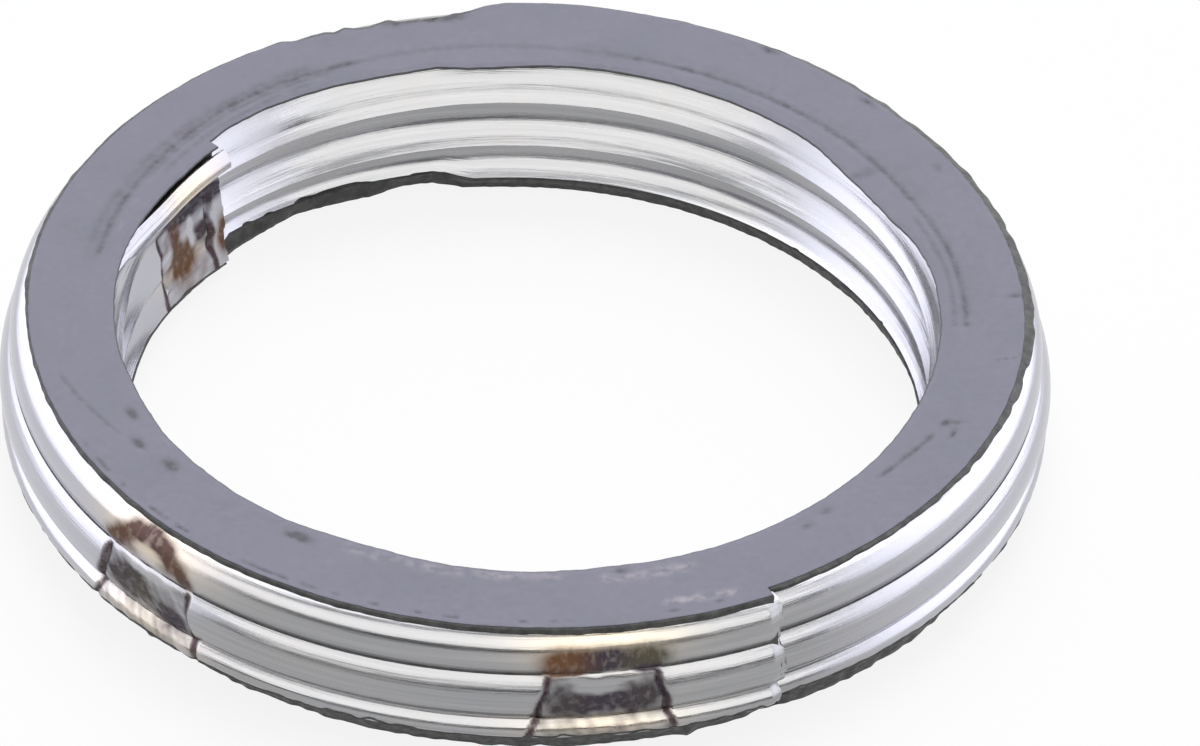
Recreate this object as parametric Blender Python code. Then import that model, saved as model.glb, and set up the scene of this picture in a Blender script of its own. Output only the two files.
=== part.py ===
"""Wound exhaust gasket: a rolled steel strip wound flat on itself with graphite tape between its turns.

Metres, +Z up. The ring lies on its lower sealing face, centred on the origin. Angles are in degrees,
counter-clockwise seen from above from +X, and the winding runs the same way from the hole outwards.
"""

import math

import bmesh
import bpy

MM = 0.001

# Driving sizes of the ring
HOLE_DIAMETER = 28.0 * MM  # across the inward ridges of the first turn
THICKNESS = 5.3 * MM  # from one graphite face to the other
WHOLE_TURNS = 6
START_ANGLE = 140.5  # where the strip starts, on the hole side
END_ANGLE = 300.5  # where the strip ends, on the outside
CLIMB_ANGLE = 55.0  # on each side of a strip end, where the turns step over it

# Driving sizes of the rolled steel strip
STRIP_GAUGE = 0.16 * MM
TAPE_GAUGE = 0.4 * MM  # pressed graphite between two turns where they lie closest
TOP_COVER = 0.27 * MM  # graphite that stands above the strip's upper rim
FIRST_BOTTOM_COVER = 0.44 * MM  # graphite below the lower rim of the first turn
LAST_BOTTOM_COVER = 0.62 * MM  # the same on the last turn
ROLL_PITCH = 1.85 * MM  # from the upper valley to the lower one
ROLL_DEPTH = 0.45 * MM  # of the middle roll, from its valleys to its crest
TOP_ARC = 97.0  # how far the upper roll curves
FIRST_BOTTOM_ARC = 112.0  # how far the lower roll curves on the first turn
LAST_BOTTOM_ARC = 88.0  # the same on the last turn, where the press has flattened it
FIRST_TOP_TILT = -3.5  # how far the upper roll leans in over the hole on the first turn
LAST_TOP_TILT = 22.7  # the same on the last turn, which the press has rounded
FIRST_BOTTOM_TILT = 12.3
LAST_BOTTOM_TILT = 26.5
FIT_CLEARANCE = 0.02 * MM  # between steel and graphite

# Driving sizes of the graphite's edges
OUTER_SHOULDER = 0.8 * MM  # from the last turn's outer crest in to the upper face's edge
INNER_LIP = 0.72 * MM  # from the first turn's crest to the upper face's edge
INNER_EDGE_DROP = 0.19 * MM  # how far the upper face falls on its last stretch before the hole
INNER_EDGE_WIDTH = 0.45 * MM  # of that stretch
LOWER_SHOULDER = 0.98 * MM  # from the last turn's outer crest in to the round edge under the strip
LOWER_LIP = 0.33 * MM  # from the first turn's ridges out over the hole to the round edge under them
LOWER_SKIN = 0.1 * MM  # graphite under the strip's rims, before it steps to those round edges
LOWER_CHAMFER = 0.22 * MM  # of the lower face's outer edge
SAG_REACH = 0.42 * MM  # graphite squeezed out over the hole's edge at the back right
SAG_ANGLE = 32.0
SAG_HALF_WIDTH = 22.0
CHIP_DEPTH = 0.45 * MM  # graphite lost from the outer edge at the back
CHIP_ANGLE = 108.0
CHIP_HALF_WIDTH = 11.0

# Driving sizes of the weld marks
OUTER_WELD_TOP = 3.8 * MM  # width of the mark at the upper valley
OUTER_WELD_FOOT = 4.9 * MM  # width of the mark at the lower rim
INNER_WELD_WIDTH = 3.0 * MM
WELD_PRESS = 0.08 * MM  # how deep the electrode has pressed the strip
WELD_EDGE = 0.2 * MM  # width of the mark's sloping side
OUTER_WELDS = (20.8, 75.8)  # back from the strip's outer end
INNER_WELD = 8.6  # on from the strip's inner start

# How finely the ring is divided
SEEN_SECTIONS = 36  # in a turn that shows
BURIED_SAG_SHARE = 0.4  # of the tape's gauge, by which a turn inside the graphite may be out of round
ROLL_PARTS = (3, 4, 2)  # straight parts of the upper, middle and lower roll

FULL_TURN = 360.0
SEEN_STEP = FULL_TURN / SEEN_SECTIONS
LAST_ANGLE = END_ANGLE + FULL_TURN * WHOLE_TURNS
HALF_GAUGE = STRIP_GAUGE / 2
FIRST_CREST = HOLE_DIAMETER / 2 + HALF_GAUGE + ROLL_DEPTH
LAST_CREST = FIRST_CREST + WHOLE_TURNS * (STRIP_GAUGE + TAPE_GAUGE)
BURIED_SAG = BURIED_SAG_SHARE * TAPE_GAUGE
BURIED_SECTIONS = math.ceil(math.pi / math.acos(1 - BURIED_SAG / LAST_CREST))
BURIED_STEP = FULL_TURN / BURIED_SECTIONS
STRIP_TOP = THICKNESS - TOP_COVER
UPPER_VALLEY = (THICKNESS + ROLL_PITCH) / 2
LOWER_VALLEY = (THICKNESS - ROLL_PITCH) / 2


def mix(first, last, share):
    return first + (last - first) * share


def eased(value):
    """Smooth step from 0 at value 0 to 1 at value 1."""
    value = min(max(value, 0.0), 1.0)
    return value * value * (3 - 2 * value)


def bump(angle, middle, half_width):
    """1 at the middle angle, falling smoothly to 0 at the half width on either side."""
    away = abs((angle - middle + FULL_TURN / 2) % FULL_TURN - FULL_TURN / 2)
    return eased(1 - away / half_width)


def radial_share(angle):
    """How far out the winding is, from 0 on its settled first turn to 1 on its settled last one.

    From the start angle round to the end angle lies one turn more than in the rest of the ring, so
    the turns are closer there, and all of them climb as they pass the strip's two ends.
    """
    gaps_close = WHOLE_TURNS
    gaps_wide = WHOLE_TURNS - 1
    share = -1 / gaps_wide
    for turn in range(WHOLE_TURNS + 1):
        climbs = (
            (START_ANGLE, turn / gaps_close - (turn - 1) / gaps_wide),
            (END_ANGLE, turn / gaps_wide - turn / gaps_close),
        )
        for border, climb in climbs:
            past = angle - border - FULL_TURN * turn
            share += climb * eased(0.5 + past / (2 * CLIMB_ANGLE))
    return share


def crest_radius(angle):
    """Radius of the middle of the strip's gauge, at the crest of its middle roll."""
    return mix(FIRST_CREST, LAST_CREST, radial_share(angle))


def corner_radius(radius, step):
    """Where the corners of a turn lie when they are a step apart, for its straight sides to keep the radius."""
    return radius * 2 / (1 + math.cos(math.radians(step / 2)))


def arc(start, end, sweep, parts):
    """Points inside the arc between two (inset, height) points, which bulges towards a smaller inset."""
    chord = math.dist(start, end)
    half = math.radians(sweep / 2)
    radius = chord / 2 / math.sin(half)
    along = ((end[0] - start[0]) / chord, (end[1] - start[1]) / chord)
    points = []
    for part in range(1, parts):
        turn = mix(-half, half, part / parts)
        run = chord / 2 + radius * math.sin(turn)
        rise = radius * (math.cos(turn) - math.cos(half))
        points.append(
            (
                start[0] + along[0] * run + along[1] * rise,
                start[1] + along[1] * run - along[0] * rise,
            )
        )
    return points


def rolled_section(angle):
    """The middle line of the strip's section, from rim to rim, as (inset from its crest, height)."""
    share = min(max(radial_share(angle), 0.0), 1.0)
    top_tilt = math.radians(mix(FIRST_TOP_TILT, LAST_TOP_TILT, share))
    bottom_tilt = math.radians(mix(FIRST_BOTTOM_TILT, LAST_BOTTOM_TILT, share))
    bottom_height = mix(FIRST_BOTTOM_COVER, LAST_BOTTOM_COVER, share)
    top = (ROLL_DEPTH + (STRIP_TOP - UPPER_VALLEY) * math.tan(top_tilt), STRIP_TOP)
    upper = (ROLL_DEPTH, UPPER_VALLEY)
    lower = (ROLL_DEPTH, LOWER_VALLEY)
    bottom = (ROLL_DEPTH + (LOWER_VALLEY - bottom_height) * math.tan(bottom_tilt), bottom_height)
    middle_arc = 4 * math.degrees(math.atan(2 * ROLL_DEPTH / ROLL_PITCH))
    bottom_arc = mix(FIRST_BOTTOM_ARC, LAST_BOTTOM_ARC, share)
    top_parts, middle_parts, bottom_parts = ROLL_PARTS
    return [
        top,
        *arc(top, upper, TOP_ARC, top_parts),
        upper,
        *arc(upper, lower, middle_arc, middle_parts),
        lower,
        *arc(lower, bottom, bottom_arc, bottom_parts),
        bottom,
    ]


def offset_line(line, distance):
    """The section moved sideways by the distance, away from the hole where it is positive."""
    normals = []
    for start, end in zip(line, line[1:]):
        length = math.dist(start, end)
        normals.append(((end[1] - start[1]) / length, (start[0] - end[0]) / length))
    moved = []
    for index, (inset, height) in enumerate(line):
        beside = normals[max(index - 1, 0) : index + 1]
        across = (sum(n[0] for n in beside), sum(n[1] for n in beside))
        size = math.hypot(*across)
        mitre = (across[0] * beside[0][0] + across[1] * beside[0][1]) / size
        reach = distance / mitre / size
        moved.append((inset + across[0] * reach, height + across[1] * reach))
    return moved


def lengthened(line, extra):
    """The section with each rim moved on by the extra length."""
    ends = []
    for end, beside in ((line[0], line[1]), (line[-1], line[-2])):
        share = 1 + extra / math.dist(end, beside)
        ends.append((mix(beside[0], end[0], share), mix(beside[1], end[1], share)))
    return [ends[0], *line[1:-1], ends[1]]


def pressed(line, depth):
    """The section with all of it below the upper valley moved in by the weld's depth."""
    return [(inset + depth * (height < UPPER_VALLEY), height) for inset, height in line]


def welds():
    """The weld marks, as (angle, width above, width below, depth towards the hole)."""
    outer = [(LAST_ANGLE - back, OUTER_WELD_TOP, OUTER_WELD_FOOT, WELD_PRESS) for back in OUTER_WELDS]
    inner = (START_ANGLE + INNER_WELD, INNER_WELD_WIDTH, INNER_WELD_WIDTH, -WELD_PRESS)
    return [inner, *outer]


def plain_stations():
    """Angles of the strip's sections: close together where it shows, and wider inside the graphite."""
    buried_from = START_ANGLE + FULL_TURN
    buried_to = LAST_ANGLE - FULL_TURN
    buried_parts = math.ceil((buried_to - buried_from) / BURIED_STEP - 0.5)
    first = [START_ANGLE + part * SEEN_STEP for part in range(SEEN_SECTIONS)]
    buried = [buried_from + part * BURIED_STEP for part in range(buried_parts)]
    last = [buried_to + part * SEEN_STEP for part in range(SEEN_SECTIONS + 1)]
    return first + buried + last


def stations():
    """The strip's sections, as (angle, extra angle at the lower rim, depth pressed in)."""
    plain = plain_stations()
    rows = []
    for middle, width_above, width_below, depth in welds():
        radius = crest_radius(middle)
        above, below, edge = (math.degrees(w / 2 / radius) for w in (width_above, width_below, WELD_EDGE))
        flare = below - above
        rows.append((middle, 0.0, depth))
        for side in (-1, 1):
            rows.append((middle + side * (above - edge), side * flare, depth))
            rows.append((middle + side * (above + edge), side * flare, 0.0))
        clear = below + 3 * edge
        plain = [a for a in plain if a in (START_ANGLE, LAST_ANGLE) or abs(a - middle) > clear]
    rows += [(angle, 0.0, 0.0) for angle in plain]
    return sorted(rows)


def at_angle(radius, angle, height):
    turn = math.radians(angle)
    return (radius * math.cos(turn), radius * math.sin(turn), height)


def strip_loops(grow):
    """The strip's closed sections along its length, with every side moved out by the clearance grow."""
    rows = stations()
    loops = []
    for index, (angle, flare, depth) in enumerate(rows):
        first = index == 0
        last = index == len(rows) - 1
        radius = crest_radius(angle)
        if not first and not last:
            radius = corner_radius(radius, (rows[index + 1][0] - rows[index - 1][0]) / 2)
        end_shift = math.degrees(grow / radius) * (last - first)
        middle = lengthened(pressed(rolled_section(angle), depth), grow)
        outside = offset_line(middle, HALF_GAUGE + grow)
        inside = offset_line(middle, -HALF_GAUGE - grow)
        loop = []
        for inset, height in outside + inside[::-1]:
            down = (UPPER_VALLEY - height) / (UPPER_VALLEY - LAST_BOTTOM_COVER)
            lean = flare * min(max(down, 0.0), 1.0)
            loop.append(at_angle(radius - inset, angle + lean + end_shift, height))
        loops.append(loop)
    return loops


def wind_strip(shape, grow):
    """The strip as one closed sweep, cut square at each end."""
    rows = [[shape.verts.new(point) for point in loop] for loop in strip_loops(grow)]
    for first, second in zip(rows, rows[1:]):
        for index in range(len(first)):
            shape.faces.new((first[index - 1], first[index], second[index], second[index - 1]))
    shape.faces.new(rows[0])
    shape.faces.new(rows[-1])


def shoulder_height(line, inset):
    """Height of the upper roll's first straight part at this inset."""
    (rim_inset, rim_height), (next_inset, next_height) = line[:2]
    return mix(rim_height, next_height, (rim_inset - inset) / (rim_inset - next_inset))


def outer_side(angle):
    """The blank's outer side, from above: its shoulder, then down inside the last turn, behind its welds."""
    line = [(inset + WELD_PRESS, height) for inset, height in rolled_section(angle)]
    chip = CHIP_DEPTH * bump(angle, CHIP_ANGLE, CHIP_HALF_WIDTH)
    edge = OUTER_SHOULDER - HALF_GAUGE + chip
    foot = min(max(edge, line[1][0]), line[0][0])
    return [(edge, THICKNESS), (foot, shoulder_height(line, foot)), *line[1:]]


def inner_side(angle):
    """The blank's inner side, from above: its lip, then down inside the first turn, behind its weld."""
    line = [(inset - WELD_PRESS, height) for inset, height in rolled_section(angle)]
    lip = INNER_LIP + SAG_REACH * bump(angle, SAG_ANGLE, SAG_HALF_WIDTH)
    shoulder = (lip - INNER_EDGE_WIDTH, THICKNESS)
    return [shoulder, (lip, THICKNESS - INNER_EDGE_DROP), (lip, STRIP_TOP), *line]


def outer_foot():
    """The round outer edge under the strip, from above, as (radius, height)."""
    radius = LAST_CREST + HALF_GAUGE - LOWER_SHOULDER
    ledge = LAST_BOTTOM_COVER - HALF_GAUGE - LOWER_SKIN
    return [(radius, ledge), (radius, LOWER_CHAMFER), (radius - LOWER_CHAMFER, 0.0)]


def inner_foot():
    """The round edge of the hole under the strip."""
    radius = HOLE_DIAMETER / 2 - LOWER_LIP
    return [(radius, FIRST_BOTTOM_COVER - HALF_GAUGE - LOWER_SKIN), (radius, 0.0)]


def loft_side(shape, side, foot, from_angle):
    """Skins one side of the blank once round. Its upper part ends in a step, and its foot is round."""
    angles = [from_angle + step * SEEN_STEP for step in range(SEEN_SECTIONS + 1)]
    rows = []
    for angle in angles:
        crest = corner_radius(crest_radius(angle), SEEN_STEP)
        rows.append([shape.verts.new(at_angle(crest - inset, angle, height)) for inset, height in side(angle)])
    for angle, row in zip(angles[:-1], rows):
        for radius, height in foot:
            row.append(shape.verts.new(at_angle(corner_radius(radius, SEEN_STEP), angle, height)))
    step_points = len(rows[-1])
    rows[-1] += rows[0][step_points:]
    for first, second in zip(rows, rows[1:]):
        for index in range(1, len(first)):
            shape.faces.new((first[index - 1], first[index], second[index], second[index - 1]))
    shape.faces.new(rows[0][: step_points + 1] + rows[-1][step_points - 1 :: -1])
    return rows


def cap(shape, inner, outer, offset):
    """A flat face between the two sides, which may each come round to a step, a corner of its own."""
    for sector in range(SEEN_SECTIONS):
        beside = (sector - offset) % SEEN_SECTIONS
        corners = [inner[sector], inner[sector + 1]]
        if beside == SEEN_SECTIONS - 1 and outer[0] != outer[-1]:
            corners.append(outer[0])
        corners += [outer[beside + 1], outer[beside]]
        if sector == 0 and inner[0] != inner[-1]:
            corners.append(inner[-1])
        shape.faces.new(corners)


def build_blank(shape):
    """The pressed graphite before the strip's slot is cut: a flat ring with a step at each strip end."""
    inner = loft_side(shape, inner_side, inner_foot(), START_ANGLE)
    outer = loft_side(shape, outer_side, outer_foot(), LAST_ANGLE - FULL_TURN)
    offset = round((END_ANGLE - START_ANGLE) / SEEN_STEP)
    for end in (0, -1):
        cap(shape, [row[end] for row in inner], [row[end] for row in outer], offset)


def mesh_object(name, fill):
    """An object whose mesh the given function fills."""
    mesh = bpy.data.meshes.new(name)
    shape = bmesh.new()
    fill(shape)
    bmesh.ops.recalc_face_normals(shape, faces=shape.faces)
    shape.to_mesh(mesh)
    shape.free()
    mesh.shade_smooth()
    mesh.set_sharp_from_angle(angle=math.radians(35))
    made = bpy.data.objects.new(name, mesh)
    bpy.context.scene.collection.objects.link(made)
    return made


def give_finish(target, colour, roughness, metallic):
    """Gives the object a Principled material of its own."""
    material = bpy.data.materials.new(target.name)
    material.use_nodes = True
    shader = material.node_tree.nodes["Principled BSDF"]
    shader.inputs["Base Color"].default_value = (*colour, 1.0)
    shader.inputs["Roughness"].default_value = roughness
    shader.inputs["Metallic"].default_value = metallic
    target.data.materials.append(material)


def make_strip():
    """The stainless strip."""
    strip = mesh_object("steel_strip", lambda shape: wind_strip(shape, 0.0))
    give_finish(strip, (0.72, 0.72, 0.74), 0.28, 1.0)


def make_filler():
    """The graphite, with a slot for the strip that leaves the fit clearance all round it."""
    filler = mesh_object("graphite_filler", build_blank)
    give_finish(filler, (0.24, 0.25, 0.32), 0.6, 0.0)
    cutter = mesh_object("strip_slot", lambda shape: wind_strip(shape, FIT_CLEARANCE))
    cutter.hide_render = True
    cutter.display_type = "WIRE"
    slot = filler.modifiers.new("slot", "BOOLEAN")
    slot.operation = "DIFFERENCE"
    slot.solver = "EXACT"
    slot.object = cutter


def clear_scene():
    for found in list(bpy.data.objects):
        bpy.data.objects.remove(found, do_unlink=True)


clear_scene()
make_strip()
make_filler()
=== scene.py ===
"""Looks of the wound exhaust gasket: its steel strip, its pressed graphite, the floor, light and camera.

Sizes are in millimetres unless a name says otherwise. Angles are in degrees, counter-clockwise seen
from above from +X. The winding's own numbers are the ones of the CAD part.
"""

import math

import bpy
import numpy as np
from mathutils import Matrix, Vector


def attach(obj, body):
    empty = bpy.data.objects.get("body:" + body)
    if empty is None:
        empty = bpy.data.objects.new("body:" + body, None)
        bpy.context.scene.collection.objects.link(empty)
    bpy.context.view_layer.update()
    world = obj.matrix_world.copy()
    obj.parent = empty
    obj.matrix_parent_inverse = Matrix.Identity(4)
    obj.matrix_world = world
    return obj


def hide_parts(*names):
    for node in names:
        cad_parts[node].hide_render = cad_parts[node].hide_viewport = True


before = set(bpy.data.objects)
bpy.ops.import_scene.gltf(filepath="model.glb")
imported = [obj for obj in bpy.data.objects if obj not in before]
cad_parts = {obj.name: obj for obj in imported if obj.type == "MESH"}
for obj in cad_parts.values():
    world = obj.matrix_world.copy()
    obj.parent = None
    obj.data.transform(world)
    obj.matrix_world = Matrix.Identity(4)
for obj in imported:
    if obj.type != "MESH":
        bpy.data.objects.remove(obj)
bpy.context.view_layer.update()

MM = 0.001
FULL_TURN = 360.0

# The winding, as in the CAD part
HOLE_DIAMETER = 28.0
THICKNESS = 5.3
WHOLE_TURNS = 6
START_ANGLE = 140.5
END_ANGLE = 300.5
CLIMB_ANGLE = 55.0
STRIP_GAUGE = 0.16
TAPE_GAUGE = 0.4
TOP_COVER = 0.27
ROLL_DEPTH = 0.45
OUTER_WELD_TOP = 3.8
OUTER_WELD_FOOT = 4.9
INNER_WELD_WIDTH = 3.0
OUTER_WELDS = (20.8, 75.8)
INNER_WELD = 8.6

LAST_ANGLE = END_ANGLE + FULL_TURN * WHOLE_TURNS
HALF_GAUGE = STRIP_GAUGE / 2
FIRST_CREST = HOLE_DIAMETER / 2 + HALF_GAUGE + ROLL_DEPTH
LAST_CREST = FIRST_CREST + WHOLE_TURNS * (STRIP_GAUGE + TAPE_GAUGE)
STRIP_TOP = THICKNESS - TOP_COVER

# The camera, as fitted to the photograph
CAMERA_ELEVATION = 38.3
CAMERA_ROLL = 1.75
CAMERA_DISTANCE = 916.1
CAMERA_TARGET = (2.556, 3.509, 0.0)
CAMERA_LENS = 800.2
SENSOR_WIDTH = 36.0
CAMERA_CLIP = (0.05, 20.0)

# The rolled section on the first turn and on the last one, as (inset, height) from the upper rim down
UPPER_RIM = ((-0.38, 4.98), (1.02, 5.09))
UPPER_VALLEY = ((0.58, 3.68), (0.45, 3.575))
LOWER_VALLEY = ((0.58, 1.83), (0.45, 1.725))
LOWER_RIM = ((0.83, 0.44), (0.62, 0.95))
# How high the outer side faces at even steps down each roll, in degrees, on the same two turns
TOP_ROLL = ((-30, -35, -38, -24, -50), (71, 50, 20, -2, -26))
MIDDLE_ROLL = (
    (80, 80, 70, 14, 2, -5, -12, -30, -38, -44, -52),
    (52, 42, 31, 21, 10, 0, -10, -21, -31, -42, -52),
)
LOWER_ROLL = (
    (80, 75, 40, 4, -4, -12, -26, -36, -44, -50, -56),
    (60, 52, 45, 38, 22, -6, -36, -66, -74, -75, -75),
)
# Where the first turn's lower rim draws back over the torn graphite, as (from, to), and how far
DRAWN_BACK = (START_ANGLE + FULL_TURN - 42, START_ANGLE + FULL_TURN - 1)
DRAWN_BACK_BY = (-0.42, 0.1)
# The flat profile at the strip's start with its lip bent in, as (height before, inset, height after)
START_PROFILE = (
    (0.4, 0.68, 0.4), (1.4, 0.5, 1.4), (2.6, 0.42, 2.6), (3.6, 0.2, 3.5),
    (4.0, 0.05, 4.05), (4.25, 0.4, 4.35), (4.45, 0.82, 4.63), (5.0, 0.5, 5.17),
)
# How far from the start this profile holds, and over how many degrees more it fades
START_ANGLE_FLAT = 13.0
START_ANGLE_FADE = 24.0
# How much of it the strip takes on, and how much the lip sinks in mm for each degree of angle
START_SHARE = 0.9
LIP_FALL = 0.01
# The strip's last part lies closer in than the even winding would put it
END_TUCK = 0.22
END_TUCK_ANGLE = 60.0
# How far the cut at the strip's outer end bends in, and over how many degrees
END_BEND = 0.12
END_BEND_ANGLE = 1.6
# How ragged the two cuts are, in degrees, and over how many degrees that fades
END_RAGGED = 0.35
START_RAGGED = 0.14
RAGGED_FADE = 1.2
# Length round the strip's section, for its surface noise
SECTION_ROUND = 13.0
# Reach of the rounded corner at each valley
VALLEY_REACH = 0.05

# The weld marks: heights of their ends, softness of the outline, and what the electrode did, in mm
WELD_TOP = UPPER_VALLEY[1][1] - 0.05
WELD_FOOT = 1.2
WELD_SOFTNESS = 0.16
WELD_BORDER = 0.2
WELD_WAVE = 0.05
OUTER_WELD_PRESS = 0.2
INNER_WELD_PRESS = -0.12
INNER_WELD_FOOT = 0.8
WELD_ROUGHNESS = 0.035
WELD_RIDGE = 0.07
# Heights of the cream haloes above and below the marks
UPPER_HALO = 4.6
LOWER_HALO = 1.5

# How finely the pieces are divided
ROLL_PARTS = (12, 22, 12)
SEEN_STEP = 2.0
BURIED_STEP = 12.0
WELD_STEP = 0.25
WELD_REACH = 9.0
FACE_PARTS = 40
GRAPHITE_STEP = 0.4
# Parts of the graphite's rows from the hole over the upper face and down the outer wall
UPPER_PARTS = (2, 5, FACE_PARTS, 2, 4, 4)
FACE_ROWS = slice(3, sum(UPPER_PARTS[:4]))

# Where the graphite's walls step from one turn to the next, just behind the strip's own ends, and over
# how many degrees
FIRST_STEP = START_ANGLE + 0.5
LAST_STEP = END_ANGLE - 0.5
STEP_WIDTH = 0.02

# Radii of the graphite's edges at (angle, radius), read along the ring
FACE_EDGE = (
    (0, 17.02), (40, 17.05), (50, 17.12), (60, 17.25), (80, 17.33), (88, 17.4), (94, 17.35), (98, 17.1),
    (101, 16.75), (104, 16.7), (107, 16.9), (110, 16.8), (114, 16.95), (118, 17.0), (122, 17.13),
    (135, 17.15), (150, 17.1), (180, 17.05), (195, 17.02), (225, 17.08), (255, 17.1), (270, 17.13),
    (285, 17.2), (300, 17.28), (300.02, 16.85), (310, 16.82), (325, 16.85), (340, 16.93), (360, 17.02),
)
SHOULDER = (
    (0, 0.3), (48, 0.3), (60, 0.18), (97, 0.12), (101, 0.3), (118, 0.28), (124, 0.14), (175, 0.14),
    (185, 0.05), (300, 0.04), (300.02, 0.08), (340, 0.12), (360, 0.3),
)
INNER_EDGE = (
    (0, 14.12), (10, 14.1), (15, 14.05), (20, 13.88), (25, 13.64), (30, 13.56), (36, 13.56), (41, 13.64),
    (45, 13.79), (52, 13.86), (75, 13.92), (85, 13.89), (91, 13.79), (96, 13.72), (100, 13.76), (104, 13.99),
    (109, 13.94), (114, 13.99), (120, 14.14), (130, 14.32), (137, 14.34), (141, 14.29), (141.02, 13.88),
    (152, 13.88), (160, 13.97), (170, 14.08), (190, 14.08), (200, 14.0), (210, 14.1), (230, 14.08),
    (238, 14.03), (244, 13.9), (250, 13.88), (262, 14.03), (272, 14.08), (283, 13.98), (292, 14.05),
    (340, 14.07), (360, 14.12),
)
OUTER_FOOT = (
    (0, 17.05), (60, 17.0), (215, 17.0), (218, 16.92), (221.5, 16.95), (223, 17.12), (224.5, 16.92),
    (240, 16.95), (255, 17.0), (288.5, 17.03), (290, 17.22), (291.5, 17.0), (298, 17.0), (299.5, 16.85),
    (302, 16.9), (305, 17.12), (330, 17.16), (345, 17.1), (360, 17.05),
)
INNER_FOOT = (
    (0, 13.67), (60, 13.67), (95, 13.72), (100, 13.8), (104, 14.2), (108, 14.3), (113, 14.05), (118, 14.15),
    (124, 14.3), (130, 14.15), (137, 14.0), (140.48, 13.95), (140.5, 13.67), (360, 13.67),
)
# How high the torn graphite stands over the strip's lower rims, at (angle, height)
OUTER_CHUNKS = (
    (0, 0.0), (215, 0.1), (222, 0.35), (240, 0.15), (255, 0.42), (298, 0.45), (299.5, 0.0), (302, 0.3),
    (335, 0.25), (360, 0.0),
)
INNER_CHUNKS = (
    (0, 0.0), (12, 0.1), (40, 0.12), (60, 0.05), (100, 0.0), (104, 0.1), (138, 0.16), (141, 0.0), (150, 0.08),
    (360, 0.0),
)

# Lines on the graphite's upper face: (angle, radius) points, half width, darkness (light where negative)
FACE_LINES = (
    (((0, 15.0), (15, 14.95), (30, 14.75), (60, 14.78), (80, 14.8)), 0.07, 0.6),
    (((80, 14.8), (100, 14.95), (118, 15.05)), 0.08, 0.25),
    (((114, 15.0), (124, 15.15), (134, 15.2), (145, 15.08), (160, 14.98), (170, 14.95)), 0.07, 0.6),
    (((118, 14.85), (135, 14.92), (152, 14.8)), 0.06, 0.3),
    (((0, 14.6), (12, 14.62), (24, 14.45)), 0.06, 0.35),
    (((195, 16.35), (200, 16.0), (208, 15.5)), 0.05, 0.35),
    (((325, 14.75), (330, 14.88), (336.5, 15.15)), 0.06, 0.7),
    (((353.6, 16.2), (354.8, 17.0)), 0.06, 0.6),
    (((0, 15.05), (60, 14.9), (85, 14.95)), 0.3, 0.1),
    (((118, 15.1), (145, 15.12), (172, 15.0)), 0.3, 0.1),
    (((120, 15.42), (145, 15.4), (168, 15.3)), 0.1, 0.25),
    (((122, 14.6), (138, 14.62), (150, 14.5)), 0.08, 0.25),
    (((120, 14.72), (145, 14.75), (165, 14.6)), 0.08, -0.15),
    (((5, 14.85), (40, 14.62), (75, 14.62)), 0.1, -0.12),
    (((288, 16.35), (297, 16.55)), 0.12, -0.5),
    (((246, 14.25), (262, 14.4), (276, 14.35)), 0.14, -0.3),
    (((281, 14.6), (294, 14.75)), 0.14, -0.35),
)
# Marks on the same face: angle, radius, half length along, half width across, darkness
FACE_SPOTS = (
    (239.3, 14.62, 0.42, 0.2, 1.0),
    (205, 14.66, 0.3, 0.16, 0.7),
    (211, 15.15, 0.28, 0.16, 0.8),
    (217, 14.86, 0.35, 0.22, 0.7),
    (284, 14.35, 0.25, 0.2, 0.5),
    (339.5, 15.3, 0.18, 0.14, 0.7),
    (337.8, 15.75, 0.22, 0.1, 0.6),
    (340.2, 15.62, 0.1, 0.2, 0.6),
    (315, 14.65, 0.2, 0.15, 0.4),
    (311, 14.8, 0.2, 0.15, 0.35),
    (6, 16.75, 0.12, 0.2, 0.5),
    (32, 16.45, 0.16, 0.12, 0.5),
    (47, 16.85, 0.3, 0.14, 0.5),
    (62, 17.1, 0.3, 0.14, 0.6),
    (36, 14.1, 0.2, 0.45, 0.35),
    (100.5, 16.75, 0.5, 0.25, 0.9),
    (107, 16.7, 0.4, 0.2, 0.5),
)

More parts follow.
